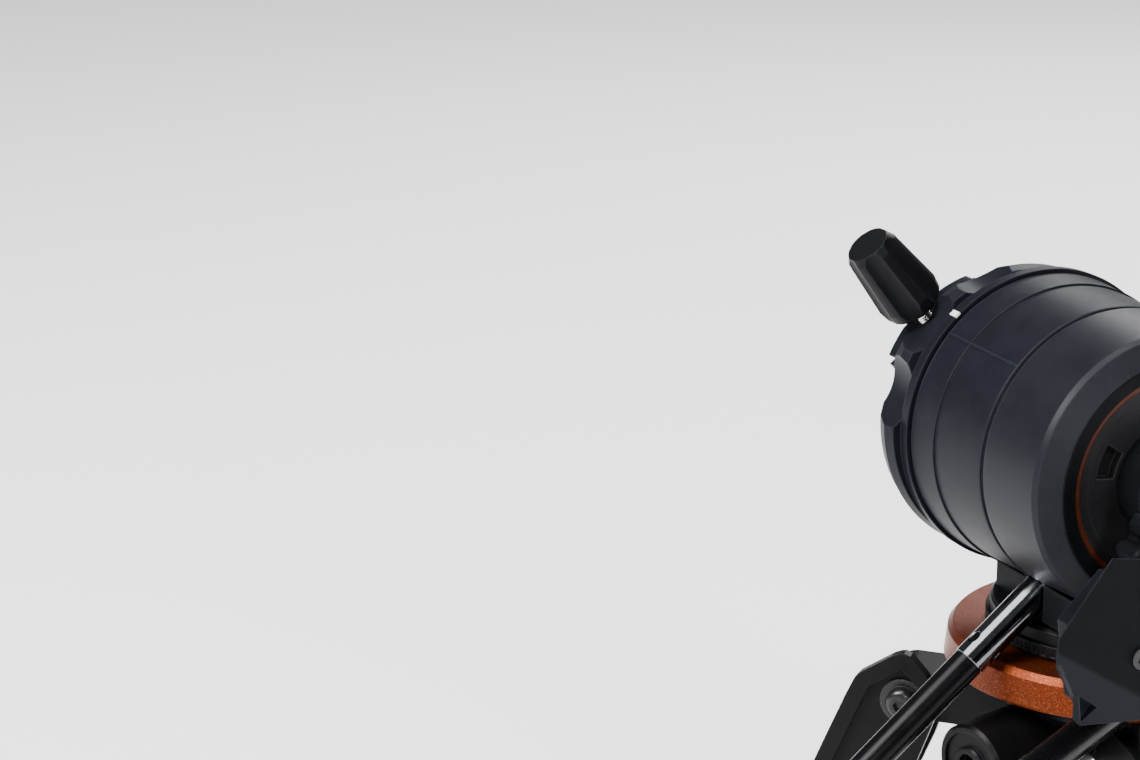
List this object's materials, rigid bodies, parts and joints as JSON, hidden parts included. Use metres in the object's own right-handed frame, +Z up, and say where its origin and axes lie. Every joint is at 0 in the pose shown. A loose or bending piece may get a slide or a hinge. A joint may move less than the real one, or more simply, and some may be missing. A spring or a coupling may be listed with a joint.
{
  "type": "telescope mount head",
  "caption": "Single-arm altazimuth telescope mount head on its tripod head, with worm-driven axes, slow-motion rods and a clamped dovetail saddle.",
  "frame": {"origin": "on the azimuth axis, at the mouth of the threaded hole under the tripod hub", "axes": "+Z up along the azimuth axis; the altitude axis runs along X, the telescope hangs on the -X side and points towards +Y and up, and the user stands at -Y"},
  "size_m": [0.2562, 0.309, 0.2649],
  "materials": {
    "casting_black": "die-cast aluminium, satin black powder coat with a fine grain",
    "head_black": "die-cast aluminium, matte black coat",
    "plastic_black": "moulded plastic, satin",
    "rod_black": "glossy black sleeve on the control rods",
    "chrome_plate": "polished plated ferrule",
    "copper_orange": "metallic flake paint, copper orange",
    "ring_orange": "moulded accent ring, semi-gloss",
    "mark_white": "white index mark",
    "bright_steel": "turned steel",
    "bronze": "bearing bronze, machined",
    "nylon": "white nylon glide ring and pad",
    "bolt_black": "black oxide screws, glossy"
  },
  "bodies": {
    "root": {"tripod_hub": "head_black", "hub_boss_caps": "head_black", "base_disc_bolts": "bolt_black", "leg_pivot_bolt_1": "bolt_black", "leg_pivot_bolt_2": "bolt_black", "leg_pivot_bolt_3": "bolt_black", "leg_pivot_nut_1": "bolt_black", "leg_pivot_nut_2": "bolt_black", "leg_pivot_nut_3": "bolt_black", "azimuth_base_disc": "copper_orange", "azimuth_spindle": "bright_steel", "azimuth_worm_wheel": "bronze", "azimuth_glide_ring": "nylon", "azimuth_spindle_nut": "bright_steel"},
    "azimuth": {"azimuth_bush": "bronze", "azimuth_thrust_washer": "bright_steel", "turntable": "head_black", "turntable_ribbed_band": "head_black", "azimuth_worm_box": "casting_black", "azimuth_worm_bushes": "bronze", "arm_casting": "casting_black", "arm_outer_cover": "casting_black", "arm_cover_screws": "bolt_black", "drum_inner_shell": "casting_black", "drum_outer_shell": "casting_black", "drum_joint_ring": "plastic_black", "drum_end_ring": "plastic_black", "drum_accent_ring": "ring_orange", "drum_end_cap": "plastic_black", "axle_bush_inner": "bronze", "axle_bush_outer": "bronze", "altitude_worm_carrier": "casting_black", "altitude_worm_bushes": "bronze"},
    "azimuth_drive": {"azimuth_worm": "bright_steel", "azimuth_rod_ferrule": "chrome_plate", "azimuth_rod": "rod_black", "azimuth_rod_grip": "plastic_black"},
    "altitude": {"altitude_axle": "bright_steel", "altitude_worm_wheel": "bronze", "altitude_spacer": "bright_steel", "altitude_spring_washer": "bright_steel", "altitude_lock_nut": "bright_steel", "altitude_friction_pad": "nylon", "saddle": "casting_black", "saddle_screws": "bolt_black", "altitude_index_mark": "mark_white"},
    "altitude_drive": {"altitude_worm": "bright_steel", "altitude_rod_ferrule": "chrome_plate", "altitude_rod": "rod_black", "altitude_rod_grip": "plastic_black"},
    "clamp_slider": {"clamp_jaw": "casting_black"},
    "clamp_handle": {"clamp_screw": "bright_steel", "clamp_knob": "plastic_black"},
    "leg_1": {"leg_bracket_1": "head_black"},
    "leg_2": {"leg_bracket_2": "head_black"},
    "leg_3": {"leg_bracket_3": "head_black"}
  },
  "joints": [
    {"name": "azimuth_turn", "type": "hinge", "parent": "root", "child": "azimuth", "pos_m": [0, 0, 0.05], "axis": [0, 0, 1], "continuous": true},
    {"name": "altitude_turn", "type": "hinge", "parent": "azimuth", "child": "altitude", "pos_m": [0.0127, -0.013, 0.12], "axis": [1, 0, 0], "range_deg": [-45, 50]},
    {"name": "altitude_drive_turn", "type": "hinge", "parent": "azimuth", "child": "altitude_drive", "pos_m": [0.0127, 0.0006, 0.10309], "axis": [0, -0.7793, -0.6266], "range_deg": [-1380, 1530]},
    {"name": "azimuth_drive_turn", "type": "hinge", "parent": "azimuth", "child": "azimuth_drive", "pos_m": [0.03828, 0.0221, 0.0506], "axis": [0.5, -0.866, 0], "continuous": true},
    {"name": "clamp_slide", "type": "slide", "parent": "altitude", "child": "clamp_slider", "axis": [0, -0.6388, 0.7694], "range_m": [0, 0.0025]},
    {"name": "clamp_turn", "type": "hinge", "parent": "clamp_slider", "child": "clamp_handle", "pos_m": [-0.0613, -0.01562, 0.11783], "axis": [0, -0.6388, 0.7694], "range_deg": [0, 901]},
    {"name": "leg_fold_1", "type": "hinge", "parent": "root", "child": "leg_1", "pos_m": [-0.05459, -0.05459, 0.0058], "axis": [0.7071, -0.7071, 0], "range_deg": [0, 18]},
    {"name": "leg_fold_2", "type": "hinge", "parent": "root", "child": "leg_2", "pos_m": [0.07457, -0.01998, 0.0058], "axis": [0.2588, 0.9659, 0], "range_deg": [0, 18]},
    {"name": "leg_fold_3", "type": "hinge", "parent": "root", "child": "leg_3", "pos_m": [-0.01998, 0.07457, 0.0058], "axis": [-0.9659, -0.2588, 0], "range_deg": [0, 18]}
  ],
  "couplings": [
    {"joint": "altitude_drive_turn", "follows": "altitude_turn", "ratio": 30},
    {"joint": "azimuth_drive_turn", "follows": "azimuth_turn", "ratio": -98},
    {"joint": "clamp_turn", "follows": "clamp_slide", "rad_per_m": 6283.2}
  ]
}
